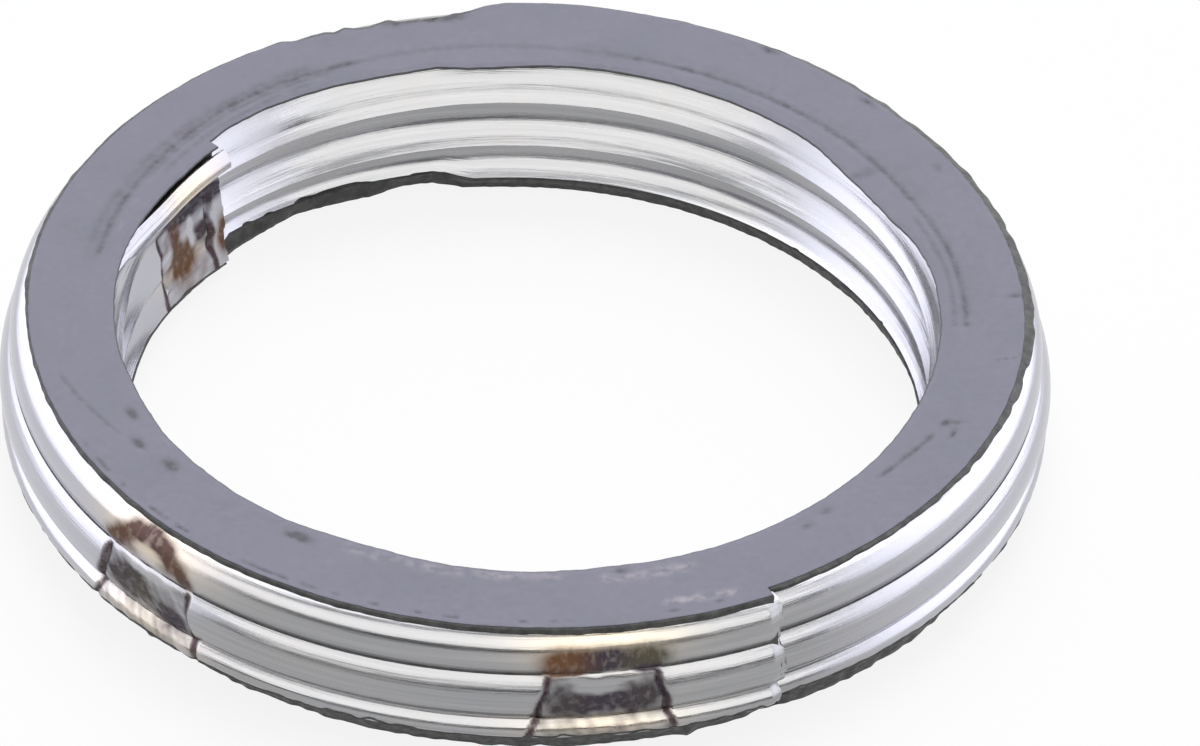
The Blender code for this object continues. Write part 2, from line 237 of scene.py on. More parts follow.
# Heat marks on the strip at the welds: weld, along, height, half length, half height, burn, tint
# where the weld counts from the inner one, and the tint runs from brown over purple grey to olive.
HEAT_SPOTS = (
    (2, -1.25, 4.12, 1.1, 0.62, 1.3, 0.05),
    (2, 0.1, 4.12, 1.0, 0.6, 1.4, 0.5),
    (2, 1.45, 4.12, 1.1, 0.58, 1.3, 0.85),
    (2, 0.35, 4.2, 0.22, 0.2, -0.9, 0.5),
    (2, -1.2, 3.68, 1.0, 0.2, 1.6, 0.25),
    (2, 1.55, 3.68, 0.5, 0.2, 1.4, 0.3),
    (2, 0.0, 3.42, 1.25, 0.2, -2.2, 0.5),
    (2, -1.2, 2.5, 0.9, 0.7, 0.85, 0.62),
    (2, 0.1, 2.4, 1.1, 0.6, 0.75, 0.5),
    (2, 1.3, 2.6, 0.9, 0.8, 0.75, 0.6),
    (2, -0.1, 3.02, 1.0, 0.2, -1.1, 0.5),
    (1, -1.75, 3.95, 0.58, 0.34, 1.3, 0.15),
    (1, -1.3, 4.35, 0.58, 0.34, 1.5, 0.2),
    (1, -0.7, 4.7, 0.58, 0.34, 1.6, 0.3),
    (1, 0.0, 4.8, 0.55, 0.34, 1.6, 0.35),
    (1, 0.7, 4.65, 0.58, 0.34, 1.6, 0.3),
    (1, 1.3, 4.3, 0.58, 0.34, 1.5, 0.2),
    (1, 1.75, 3.9, 0.45, 0.34, 1.3, 0.3),
    (1, -0.9, 3.95, 0.6, 0.25, 0.6, 0.2),
    (1, 0.9, 3.95, 0.5, 0.25, 0.6, 0.3),
    (1, 0.1, 3.42, 1.2, 0.18, -1.6, 0.5),
    (1, -1.1, 2.7, 0.9, 0.7, 1.0, 0.6),
    (1, 0.0, 2.5, 1.0, 0.7, 0.7, 0.75),
    (1, 1.3, 2.2, 0.7, 0.6, 0.9, 0.55),
    (0, -0.7, 3.5, 2.1, 0.42, 2.4, 0.5),
    (0, 0.1, 1.6, 0.8, 0.7, 1.4, 0.1),
    (0, 0.4, 2.6, 0.35, 0.9, 1.0, 0.15),
    (0, -2.1, 1.6, 0.4, 0.9, 1.3, 0.15),
    (0, -1.1, 2.2, 0.35, 0.4, 1.5, 0.45),
    (0, -0.5, 2.5, 0.18, 0.7, -1.0, 0.5),
    (0, -1.5, 2.8, 0.16, 0.5, -1.0, 0.5),
)

# A row of small pits near the face's outer edge, as (from, to), and its radius
PIT_ROW = (206, 299)
PIT_RADIUS = 16.8
# How deep a mark on the face is, in mm
MARK_DEPTH = 0.035
# Where the graphite's upper outer edge is torn off, as (from, to)
TORN_EDGE = (96, 121)
# Height at which the graphite meets the last turn's lower roll, before it is torn
OUTER_COVER = 1.05
# How far the graphite stays behind the lip at the strip's start
BEHIND_LIP = 0.3

# Colours of the steel: two rolled tones, worn patches, a painted reflection that lightens the ring's sides,
# the halo at a weld
STEEL_TONES = ((0.3, 0.305, 0.315), (0.37, 0.37, 0.38))
STEEL_WORN = (0.34, 0.33, 0.32)
# Painted reflection: a paler lavender steel colour where the strip would mirror the bright room, and how much
# of it
STEEL_PAINTED_REFLECTION = (0.53, 0.53, 0.59)
PAINTED_REFLECTION_AMOUNT = 0.75
STEEL_HALO = (0.8, 0.68, 0.5)
HALO_AMOUNT = 0.75
# The burns from brown over purple grey to olive
BURN_TINTS = ((0.0, (0.15, 0.075, 0.035)), (0.5, (0.055, 0.045, 0.06)), (1.0, (0.11, 0.1, 0.06)))
# Colours of the graphite: two face tones, its grain, marks and scuffs, and the dark walls and torn edges,
# partly painted shade
FACE_TONES = ((0.13, 0.134, 0.18), (0.15, 0.146, 0.2))
FACE_GRAIN = (0.19, 0.18, 0.22)
MARK_DARK = (0.045, 0.045, 0.06)
MARK_LIGHT = (0.36, 0.33, 0.36)
# Dark colour of every wall below the face: partly matt torn graphite, partly painted shade
TORN_AND_SHADED_TONES = ((0.022, 0.023, 0.022), (0.085, 0.085, 0.08))

# The floor: half its side in metres, its colour, and how much of its white is its own, so that the
# object's shadow on it stays light
FLOOR_REACH = 3.0
FLOOR_COLOUR = (0.95, 0.95, 0.95, 1.0)
FLOOR_PALE = 0.87
# The world's colour, and its strength from the front to the back of the room
WORLD_COLOUR = (0.94, 0.94, 1.0, 1.0)
WORLD_FADE = (-0.55, 0.0)
WORLD_STRENGTH = (0.12, 0.85)
# Lamps: name, azimuth, elevation, distance, width and height in metres, radiance, colour
KEY_LIGHT = ("key", 85, 56, 1.3, 0.9, 0.9, 3.9, (1.0, 1.0, 1.0))
# Soft panels of the same kind, which show in the steel only
PANELS = (
    ("front_panel", 270, 41, 1.5, 4.0, 1.25, 2.35, (1.0, 0.99, 0.965)),
    ("top_panel", 270, 92, 1.5, 3.0, 0.9, 2.45, (1.0, 1.0, 1.0)),
    ("left_panel", 152, 22, 1.5, 4.2, 1.3, 1.5, (0.93, 0.93, 1.0)),
    ("right_panel", 28, 22, 1.5, 4.2, 1.3, 1.5, (0.93, 0.93, 1.0)),
)


def mix(first, last, share):
    """The value at a share of the way from first to last."""
    return first + (last - first) * share


def eased(value):
    """Smooth step from 0 at value 0 to 1 at value 1."""
    value = np.clip(value, 0.0, 1.0)
    return value * value * (3 - 2 * value)


def listed(angle, pairs):
    """The value listed at (angle, value) pairs round the ring, with straight lines between them."""
    angles, values = zip(*pairs)
    return np.interp(angle % FULL_TURN, angles, values)


def ragged(angle, step, seed):
    """Smooth chance values from -1 to 1 round the ring, a new one at every step of angle."""
    count = int(round(FULL_TURN / step))
    values = np.random.default_rng(seed).uniform(-1, 1, count + 1)
    values[-1] = values[0]
    at = (angle % FULL_TURN) / FULL_TURN * count
    low = np.floor(at).astype(int) % count
    return mix(values[low], values[low + 1], eased(at - np.floor(at)))


def radial_share(angle):
    """How far out the winding is, from 0 on its settled first turn to 1 on its settled last one."""
    gaps_close = WHOLE_TURNS
    gaps_wide = WHOLE_TURNS - 1
    share = np.full_like(angle, -1 / gaps_wide)
    for turn in range(WHOLE_TURNS + 1):
        climbs = (
            (START_ANGLE, turn / gaps_close - (turn - 1) / gaps_wide),
            (END_ANGLE, turn / gaps_wide - turn / gaps_close),
        )
        for border, climb in climbs:
            past = angle - border - FULL_TURN * turn
            share = share + climb * eased(0.5 + past / (2 * CLIMB_ANGLE))
    return share


def crest_radius(angle):
    """Radius of the middle of the strip's gauge, at the crest of its middle roll."""
    tuck = END_TUCK * eased(1 + (angle - LAST_ANGLE) / END_TUCK_ANGLE)
    return mix(FIRST_CREST, LAST_CREST, radial_share(angle)) - tuck


def rolled(start, end, faces, share, parts):
    """Points from start down to end, both included, along a roll that faces as listed for the two turns."""
    knots = np.linspace(0, 1, len(faces[0]))
    middles = (np.arange(parts) + 0.5) / parts
    first = np.interp(middles, knots, faces[0])
    last = np.interp(middles, knots, faces[1])
    facing = np.radians(mix(first[None], last[None], share[:, None]))
    run = np.cumsum(np.stack([-np.sin(facing), -np.cos(facing)], axis=-1), axis=1)
    reach = np.linalg.norm(end - start, axis=1) / np.linalg.norm(run[:, -1], axis=1)
    line = start[:, None] + run * reach[:, None, None]
    line += (end - line[:, -1])[:, None] * (np.arange(1, parts + 1) / parts)[None, :, None]
    return np.concatenate([start[:, None], line], axis=1)


def flattened(line, angle):
    """The sections near the strip's start, beaten flat with a lip bent in over the hole."""
    past = angle - START_ANGLE
    share = START_SHARE * (1 - eased((past - START_ANGLE_FLAT) / START_ANGLE_FADE))
    heights, insets, new_heights = zip(*START_PROFILE)
    inset = np.interp(line[..., 1], heights, insets)
    height = np.interp(line[..., 1], heights, new_heights)
    height -= LIP_FALL * past[:, None] * eased(line[..., 1] - 3.6)
    return mix(line, np.stack([inset, height], axis=-1), share[:, None, None])


def rolled_section(angle):
    """The middle line of the strip's section at each angle, from rim to rim, as (inset, height)."""
    share = np.clip(radial_share(angle), 0.0, 1.0)
    corners = []
    for first, last in (UPPER_RIM, UPPER_VALLEY, LOWER_VALLEY, LOWER_RIM):
        corners.append(mix(np.array(first)[None], np.array(last)[None], share[:, None]))
    back = eased((angle - DRAWN_BACK[0]) / 5) * eased((DRAWN_BACK[1] - angle) / 2)
    corners[3] = corners[3] + back[:, None] * np.array(DRAWN_BACK_BY)
    parts = []
    for index, faces in enumerate((TOP_ROLL, MIDDLE_ROLL, LOWER_ROLL)):
        roll = rolled(corners[index], corners[index + 1], faces, share, ROLL_PARTS[index])
        parts.append(roll if index == 0 else roll[:, 1:])
    return flattened(np.concatenate(parts, axis=1), angle)


def point(radius, height):
    """One (radius, height) point for each section."""
    radius, height = np.broadcast_arrays(radius, height)
    return np.stack([radius, height], axis=1)


def offset_line(line, distance):
    """Every section moved sideways by the distance, away from the hole where it is positive."""
    step = np.diff(line, axis=1)
    normal = np.stack([step[..., 1], -step[..., 0]], axis=-1)
    normal /= np.linalg.norm(normal, axis=-1, keepdims=True)
    before = np.concatenate([normal[:, :1], normal], axis=1)
    after = np.concatenate([normal, normal[:, -1:]], axis=1)
    across = before + after
    return line + across * (2 * distance / np.sum(across * across, axis=-1, keepdims=True))


def softened(line, index, reach):
    """Every section with one of its corners rounded off over the reach on each side."""
    corner = line[:, index]
    sides = []
    for beside in (line[:, index - 1], line[:, index + 1]):
        away = beside - corner
        sides.append(corner + away * (reach / np.linalg.norm(away, axis=1, keepdims=True)))
    rounded = []
    for share in (0.0, 0.25, 0.5, 0.75, 1.0):
        first = mix(sides[0], corner, share)
        last = mix(corner, sides[1], share)
        rounded.append(mix(first, last, share))
    return np.concatenate([line[:, :index], np.stack(rounded, axis=1), line[:, index + 1 :]], axis=1)


def welds():
    """The weld marks from the start on: angle, width above, width below, side (1 outside, -1 at the hole)."""
    inner = (START_ANGLE + INNER_WELD, INNER_WELD_WIDTH, INNER_WELD_WIDTH, -1)
    outer = [(LAST_ANGLE - back, OUTER_WELD_TOP, OUTER_WELD_FOOT, 1) for back in sorted(OUTER_WELDS)[::-1]]
    return [inner, *outer]


def weld_place(angle, middle):
    """How far along the strip from a weld's middle, in mm, for each angle as a column."""
    radius = crest_radius(np.array([middle]))[0]
    return (np.radians(angle - middle) * radius)[:, None]


def strip_angles():
    """Where the strip's sections lie: close together at the welds and ends, wide inside the graphite."""
    buried_from = START_ANGLE + FULL_TURN + SEEN_STEP
    buried_to = LAST_ANGLE - FULL_TURN - SEEN_STEP
    parts = [
        np.arange(START_ANGLE, buried_from, SEEN_STEP),
        np.arange(buried_from, buried_to, BURIED_STEP),
        np.arange(buried_to, LAST_ANGLE, SEEN_STEP),
        np.arange(START_ANGLE, START_ANGLE + SEEN_STEP, WELD_STEP),
        np.arange(LAST_ANGLE - SEEN_STEP, LAST_ANGLE, WELD_STEP),
        [LAST_ANGLE],
    ]
    for weld in welds():
        parts.append(np.arange(weld[0] - WELD_REACH, weld[0] + WELD_REACH, WELD_STEP))
    angles = np.unique(np.round(np.concatenate(parts), 4))
    return angles[(angles >= START_ANGLE) & (angles <= LAST_ANGLE)]


def lumps(along, height, seed):
    """Small uneven swellings, from about -1 to 1."""
    chance = np.random.default_rng(seed)
    total = np.zeros(np.broadcast_shapes(along.shape, height.shape))
    for wave in range(7):
        pull_along, pull_height = chance.uniform(-1, 1, 2) * (3 + wave)
        total = total + np.sin(along * pull_along + height * pull_height + chance.uniform(0, 6.3))
    return total / 4


def weld_share(angle, height, weld):
    """How far inside a weld's outline each vertex is (0 or 1, soft between), and how near to its border."""
    middle, width_above, width_below = weld[:3]
    down = np.clip((WELD_TOP - height) / (WELD_TOP - WELD_FOOT), 0.0, 1.0)
    half_width = mix(width_above, width_below, down) / 2 + WELD_WAVE * np.sin(height * 5 + middle)
    past = half_width - np.abs(weld_place(angle, middle))
    below = eased((WELD_TOP - height) / 0.12)
    inside = eased(past / WELD_SOFTNESS + 0.5) * below
    border = eased(1 - np.abs(past) / WELD_BORDER) * below
    return inside, border


def pressed(line, angle):
    """The sections with the weld marks pressed in."""
    inset = line[..., 0].copy()
    height = line[..., 1]
    swell = np.clip(1 - np.abs(height - THICKNESS / 2) / 0.95, 0.0, 1.0)
    for number, weld in enumerate(welds()):
        side = weld[3]
        inside, border = weld_share(angle, height, weld)
        if side > 0:
            flat = OUTER_WELD_PRESS * eased(swell * 1.6) * inside
        else:
            above_rim = eased((height - INNER_WELD_FOOT) / 0.5)
            inside = inside * above_rim
            border = border * above_rim
            flat = INNER_WELD_PRESS * inside
        rough = WELD_ROUGHNESS * lumps(weld_place(angle, weld[0]), height, 40 + number) * inside
        inset += flat + side * (rough + WELD_RIDGE * border)
    return np.stack([inset, height], axis=-1)


def heat_marks(angle, height):
    """Burn, halo and tint at each vertex of the strip, as one vector."""
    burn = np.zeros_like(height)
    halo = np.zeros_like(height)
    tint = np.zeros_like(height)
    weight = np.full_like(height, 1e-6)
    places = welds()
    for number, along, spot_height, half_length, half_height, amount, colour in HEAT_SPOTS:
        away = (weld_place(angle, places[number][0]) - along) / half_length
        share = np.exp(-1.5 * (away**2 + ((height - spot_height) / half_height) ** 2) ** 1.5)
        burn += amount * share
        tint += colour * share * abs(amount)
        weight += share * abs(amount)
    for number, weld in enumerate(places):
        inside, border = weld_share(angle, height, weld)
        along = weld_place(angle, weld[0])
        burn += 1.5 * border + 0.3 * inside * (1 + lumps(along * 2, height * 2, 60 + number))
        tint += 0.4 * border
        weight += border
        away = along / (weld[2] / 2)
        halo += np.exp(-(away**2) - ((height - UPPER_HALO) / 0.7) ** 2)
        halo += 0.7 * np.exp(-(away**2) - ((height - LOWER_HALO) / 0.4) ** 2)
    return np.stack([np.clip(burn, 0, 1), np.clip(halo, 0, 1), np.clip(tint / weight, 0, 1)], axis=-1)


def place(radius, angle, height):
    """Points in space, in mm."""
    turn = np.radians(angle)
    return np.stack([radius * np.cos(turn), radius * np.sin(turn), height], axis=-1)


def grid_object(name, points, around, along, attributes):
    """A mesh of quads over rows of points, closed round each row if around, and from row to row if along."""
    rows, columns = points.shape[:2]
    mesh = bpy.data.meshes.new(name)
    index = np.arange(rows * columns).reshape(rows, columns)
    first = index if along else index[:-1]
    second = np.roll(index, -1, axis=0) if along else index[1:]
    if around:
        quads = [first, second, np.roll(second, -1, axis=1), np.roll(first, -1, axis=1)]
    else:
        quads = [first[:, :-1], second[:, :-1], second[:, 1:], first[:, 1:]]
    faces = np.stack(quads, axis=-1).reshape(-1, 4).tolist()
    if around and not along:
        faces.append(index[0].tolist())
        faces.append(index[-1][::-1].tolist())
    mesh.from_pydata((points.reshape(-1, 3) * MM).tolist(), [], faces)
    for key, values in attributes.items():
        kind = "FLOAT_VECTOR" if values.ndim == 3 else "FLOAT"
        layer = mesh.attributes.new(key, kind, "POINT")
        layer.data.foreach_set("vector" if values.ndim == 3 else "value", values.astype(np.float32).ravel())
    mesh.shade_smooth()
    mesh.set_sharp_from_angle(angle=math.radians(50))
    mesh.validate()
    made = bpy.data.objects.new(name, mesh)
    bpy.context.scene.collection.objects.link(made)
    return made


def strip_section(angle):
    """The outline of the strip's section at each angle, down its hole side and back up its outer one."""
    middle = pressed(rolled_section(angle), angle)
    bent = eased(1 - (LAST_ANGLE - angle) / END_BEND_ANGLE)
    middle[..., 0] += END_BEND * bent[:, None]
    faces = []
    for distance in (HALF_GAUGE, -HALF_GAUGE):
        face = offset_line(middle, distance)
        face = softened(face, ROLL_PARTS[0] + ROLL_PARTS[1], VALLEY_REACH)
        face = softened(face, ROLL_PARTS[0], VALLEY_REACH)
        faces.append(face)
    return np.concatenate([faces[0], faces[1][:, ::-1]], axis=1)


def painted_reflection_share(angle):
    """Painted reflection on the strip: most at the ring's two sides and just past its first weld."""
    beside = eased((np.abs(np.cos(np.radians(angle))) - 0.5) / 0.4)
    return np.maximum(beside, 0.8 * eased(1 - np.abs(angle - START_ANGLE - 24) / 16))


def make_strip():
    """The steel strip, wound from the hole out."""
    angle = strip_angles()
    section = strip_section(angle)
    height = section[..., 1]
    radius = crest_radius(angle)[:, None] - section[..., 0]
    cut = END_RAGGED * np.clip(1 - (LAST_ANGLE - angle) / RAGGED_FADE, 0, 1)
    cut -= START_RAGGED * np.clip(1 - (angle - START_ANGLE) / RAGGED_FADE, 0, 1)
    turn = angle[:, None] + cut[:, None] * np.sin(height * 3.1 + 1.2 * np.sin(height * 7.3))
    along = np.broadcast_to((np.radians(angle) * crest_radius(angle))[:, None], radius.shape)
    across = np.broadcast_to(np.linspace(0, SECTION_ROUND, radius.shape[1])[None], radius.shape)
    attributes = {
        "winding": np.stack([along, across, np.zeros_like(along)], axis=-1),
        "scorch": heat_marks(angle, height),
        # painted reflection: how much paler steel is mixed in, most at the ring's sides
        "painted_reflection": np.broadcast_to(painted_reflection_share(angle)[:, None], radius.shape),
    }
    strip = grid_object("wound_strip", place(radius, turn, height), True, False, attributes)
    strip.data.materials.append(steel_material())
    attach(strip, "root")
    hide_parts("steel_strip")


def graphite_angles():
    """Where the graphite's sections lie: at even steps, and close together at its own two steps."""
    borders = [FIRST_STEP, FIRST_STEP + STEP_WIDTH, LAST_STEP, LAST_STEP + STEP_WIDTH]
    return np.unique(np.round(np.concatenate([np.arange(0, FULL_TURN, GRAPHITE_STEP), borders]), 4))


def radius_at(line, crest, height):
    """Radius of the strip's lower roll at a height, one for each section."""
    found = [np.interp(h, row[::-1, 1], row[::-1, 0]) for h, row in zip(height, line[:, -ROLL_PARTS[2] :])]
    return crest - np.array(found)


def spaced(first, last, parts):
    """Rows between two arrays of (radius, height) points, the first one in and the last one out."""
    return [mix(first, last, part / parts) for part in range(parts)]


def face_marks(angle, radius):
    """Darkness of the marks on the upper face at each vertex, light where negative."""
    marks = np.zeros_like(radius)
    uneven = 0.75 + 0.25 * ragged(angle, 1.5, 31)
    for points, half_width, darkness in FACE_LINES:
        angles, radii = zip(*points)
        away = (radius - np.interp(angle, angles, radii)[:, None]) / half_width / 1.7
        ends = eased((angle - angles[0]) / 2 + 0.5) * eased((angles[-1] - angle) / 2 + 0.5)
        marks += 1.3 * darkness * (ends * uneven)[:, None] * np.exp(-(away**2))
    for middle, mark_radius, half_length, half_width, darkness in FACE_SPOTS:
        away = (np.radians(angle - middle) * mark_radius)[:, None] / half_length
        marks += 1.6 * darkness * np.exp(-(away**2) - ((radius - mark_radius) / half_width) ** 2)
    pits = eased((angle - PIT_ROW[0]) / 6) * eased((PIT_ROW[1] - angle) / 6)
    pits = pits * np.clip(ragged(angle, 1.1, 33) * 1.6, 0, 1)
    marks += 0.7 * pits[:, None] * eased(1 - np.abs(radius - PIT_RADIUS) / 0.14)
    return marks


def strip_beside(turn_angle):
    """The strip's middle line that the graphite follows on a turn, and the crest radius of that turn."""
    return pressed(rolled_section(turn_angle), turn_angle), crest_radius(turn_angle)


def along_strip(line, crest, indices):
    """Rows of the graphite inside the strip's gauge, where they don't show."""
    return [point(crest - line[:, index, 0], line[:, index, 1]) for index in indices]


def upper_rows(angle, inner_edge, torn):
    """Rows from the hole's edge over the upper face and down the outer wall to the strip."""
    fine = ragged(angle, 0.9, 11) + 0.6 * ragged(angle, 2.3, 12)
    face_edge = listed(angle, FACE_EDGE) + 0.012 * fine + 0.14 * torn * ragged(angle, 1.3, 13)
    shoulder = listed(angle, SHOULDER) * (1 + 0.25 * ragged(angle, 1.7, 14))
    corners = (
        point(inner_edge + 0.03, THICKNESS - 0.12),
        point(inner_edge, THICKNESS - 0.04),
        point(inner_edge + 0.25, THICKNESS),
        point(face_edge - 0.06, THICKNESS),
        point(face_edge, THICKNESS - 0.02 - 0.12 * torn),
        point(face_edge + shoulder, THICKNESS - 0.05 - 0.5 * shoulder - 0.15 * torn),
        point(face_edge + shoulder - 0.04, STRIP_TOP - 0.3),
    )
    rows = []
    for first, last, parts in zip(corners, corners[1:], UPPER_PARTS):
        rows += spaced(first, last, parts)
    return [*rows, corners[-1]]


def outer_foot_rows(angle, line, crest, outer_foot):
    """Rows over the torn edge that hangs on the last turn's lower roll, in to the lower face."""
    clods = 0.4 + 0.5 * ragged(angle, 1.6, 21) + 0.4 * ragged(angle, 4.3, 22) + 0.3 * ragged(angle, 0.9, 27)
    hang = listed(angle, OUTER_CHUNKS) * np.clip(clods, 0, 1.2)
    over = radius_at(line, crest, OUTER_COVER + 0.5 * hang) + 0.12
    top = point(radius_at(line, crest, OUTER_COVER + hang) + 0.02, OUTER_COVER + hang)
    swollen = point(over, OUTER_COVER - 0.05 + 0.5 * hang)
    hollow = point(mix(over, outer_foot, 0.5), OUTER_COVER - 0.3 + 0.6 * hang)
    rounded = point(outer_foot, 0.2)
    rows = [top, *spaced(swollen, hollow, 2), *spaced(hollow, rounded, 4)]
    return rows + spaced(rounded, point(outer_foot - 0.1, 0.0), 3)


def inner_foot_rows(angle, line, crest, outer_foot):
    """Rows over the lower face and the torn edge that stands over the first turn's lower rim."""
    inner_foot = listed(angle, INNER_FOOT) + 0.02 * ragged(angle, 0.8, 25) + 0.02 * ragged(angle, 2.9, 26)
    clods = 0.5 + 0.4 * ragged(angle, 1.9, 28) + 0.35 * ragged(angle, 4.7, 29)
    rim = line[:, -1]
    top = rim[:, 1] + 0.05 + listed(angle, INNER_CHUNKS) * np.clip(clods, 0, 1)
    wall = radius_at(line, crest, top) - HALF_GAUGE
    lip = point(np.minimum(wall, crest - rim[:, 0] - HALF_GAUGE) - 0.04, top - 0.08)
    face_end = point(inner_foot + 0.06, 0.0)
    rounded = point(inner_foot, 0.22)
    rows = spaced(point(outer_foot - 0.1, 0.0), face_end, 8)
    rows += spaced(face_end, rounded, 3)
    rows += spaced(rounded, lip, 3)
    rows += spaced(lip, point(wall + 0.02, top), 2)
    return [*rows, point(wall + 0.06, top)]


def graphite_section(angle, torn):
    """The graphite's outline at each angle as (radius, height), round from the hole's upper edge."""
    outer_line, outer_crest = strip_beside(angle + FULL_TURN * (WHOLE_TURNS - (angle > LAST_STEP)))
    inner_line, inner_crest = strip_beside(np.where(angle <= FIRST_STEP, angle + FULL_TURN, angle))
    inner_edge = listed(angle, INNER_EDGE) + 0.015 * ragged(angle, 1.0, 15) + 0.015 * ragged(angle, 3.1, 16)
    outer_foot = listed(angle, OUTER_FOOT) + 0.05 * ragged(angle, 1.1, 23) + 0.05 * ragged(angle, 2.7, 24)
    rows = upper_rows(angle, inner_edge, torn)
    rows += along_strip(outer_line, outer_crest, range(6, outer_line.shape[1], 4))
    rows += outer_foot_rows(angle, outer_line, outer_crest, outer_foot)
    rows += inner_foot_rows(angle, inner_line, inner_crest, outer_foot)
    rows += along_strip(inner_line, inner_crest, range(inner_line.shape[1] - 6, 4, -4))
    for radius, height in (
        (inner_crest - inner_line[:, 4, 0], inner_line[:, 4, 1]),
        (inner_crest - inner_line[:, 1, 0], inner_line[:, 1, 1]),
        (inner_crest - inner_line[:, 0, 0] - 0.12, STRIP_TOP + 0.06),
    ):
        rows.append(point(np.maximum(radius, inner_edge + BEHIND_LIP), height))
    return np.stack(rows, axis=1)


def make_graphite():
    """The pressed graphite, as one closed mass round the strip."""
    angle = graphite_angles()
    torn = eased((angle - TORN_EDGE[0]) / 3) * eased((TORN_EDGE[1] - angle) / 4)
    section = graphite_section(angle, torn)
    marks = np.zeros(section.shape[:2])
    marks[:, FACE_ROWS] = face_marks(angle, section[:, FACE_ROWS, 0])
    section[:, FACE_ROWS, 1] -= MARK_DEPTH * np.clip(marks[:, FACE_ROWS], 0, 1)
    # 1 on the burnished face, 0 on the walls, whose dark colour is partly torn graphite and partly painted
    # shade
    burnished_vs_painted_shade = np.zeros(section.shape[:2])
    burnished_vs_painted_shade[:, FACE_ROWS] = 1.0
    burnished_vs_painted_shade[:, FACE_ROWS.stop - 3 : FACE_ROWS.stop] = (1 - 0.8 * torn)[:, None]
    turn = np.broadcast_to(angle[:, None], section.shape[:2])
    points = place(section[..., 0], turn, section[..., 1])
    attributes = {"burnished_vs_painted_shade": burnished_vs_painted_shade, "marks": marks}
    graphite = grid_object("pressed_graphite", points, True, True, attributes)
    graphite.data.materials.append(graphite_material())
    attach(graphite, "root")
    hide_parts("graphite_filler")


def node_material(name):
    """A new material, its node tree and its surface shader."""
    material = bpy.data.materials.new(name)
    material.use_nodes = True
    return material, material.node_tree, material.node_tree.nodes["Principled BSDF"]


def attribute(tree, name, output):
    """The socket of a value that each vertex of the mesh carries."""
    node = tree.nodes.new("ShaderNodeAttribute")
    node.attribute_name = name
    return node.outputs[output]


def arithmetic(tree, operation, first, second):
    """A math node over two sockets or numbers, kept between 0 and 1."""
    node = tree.nodes.new("ShaderNodeMath")
    node.operation = operation
    node.use_clamp = True
    for socket, value in zip(node.inputs, (first, second)):
        if isinstance(value, (int, float)):
            socket.default_value = value
        else:
            tree.links.new(value, socket)
    return node.outputs["Value"]


def noise(tree, vector, stretch, detail):
    """Noise over a vector stretched by three factors."""
    mapping = tree.nodes.new("ShaderNodeMapping")
    mapping.inputs["Scale"].default_value = stretch
    tree.links.new(vector, mapping.inputs["Vector"])
    node = tree.nodes.new("ShaderNodeTexNoise")
    node.inputs["Scale"].default_value = 1.0
    node.inputs["Detail"].default_value = detail
    tree.links.new(mapping.outputs["Vector"], node.inputs["Vector"])
    return node.outputs["Fac"]


def ranged(tree, value, from_low, from_high, to_low, to_high):
    """A socket's value carried from one range to another, and held at its ends."""
    node = tree.nodes.new("ShaderNodeMapRange")
    node.inputs["From Min"].default_value = from_low
    node.inputs["From Max"].default_value = from_high
    node.inputs["To Min"].default_value = to_low
    node.inputs["To Max"].default_value = to_high
    tree.links.new(value, node.inputs["Value"])
    return node.outputs["Result"]


def blended(tree, factor, first, second, mode="MIX"):
    """Two colours, each a socket or a written colour, mixed by a factor socket."""
    node = tree.nodes.new("ShaderNodeMix")
    node.data_type = "RGBA"
    node.blend_type = mode
    tree.links.new(factor, node.inputs["Factor"])
    for name, value in (("A", first), ("B", second)):
        if isinstance(value, tuple):
            node.inputs[name].default_value = (*value, 1.0)
        else:
            tree.links.new(value, node.inputs[name])
    return node.outputs["Result"]


def bumped(tree, height, strength, distance, before=None):
    """A normal with the height's bumps, the distance in mm, on top of the bumps before."""
    node = tree.nodes.new("ShaderNodeBump")
    node.inputs["Strength"].default_value = strength
    node.inputs["Distance"].default_value = distance * MM
    tree.links.new(height, node.inputs["Height"])
    if before is not None:
        tree.links.new(before, node.inputs["Normal"])
    return node.outputs["Normal"]


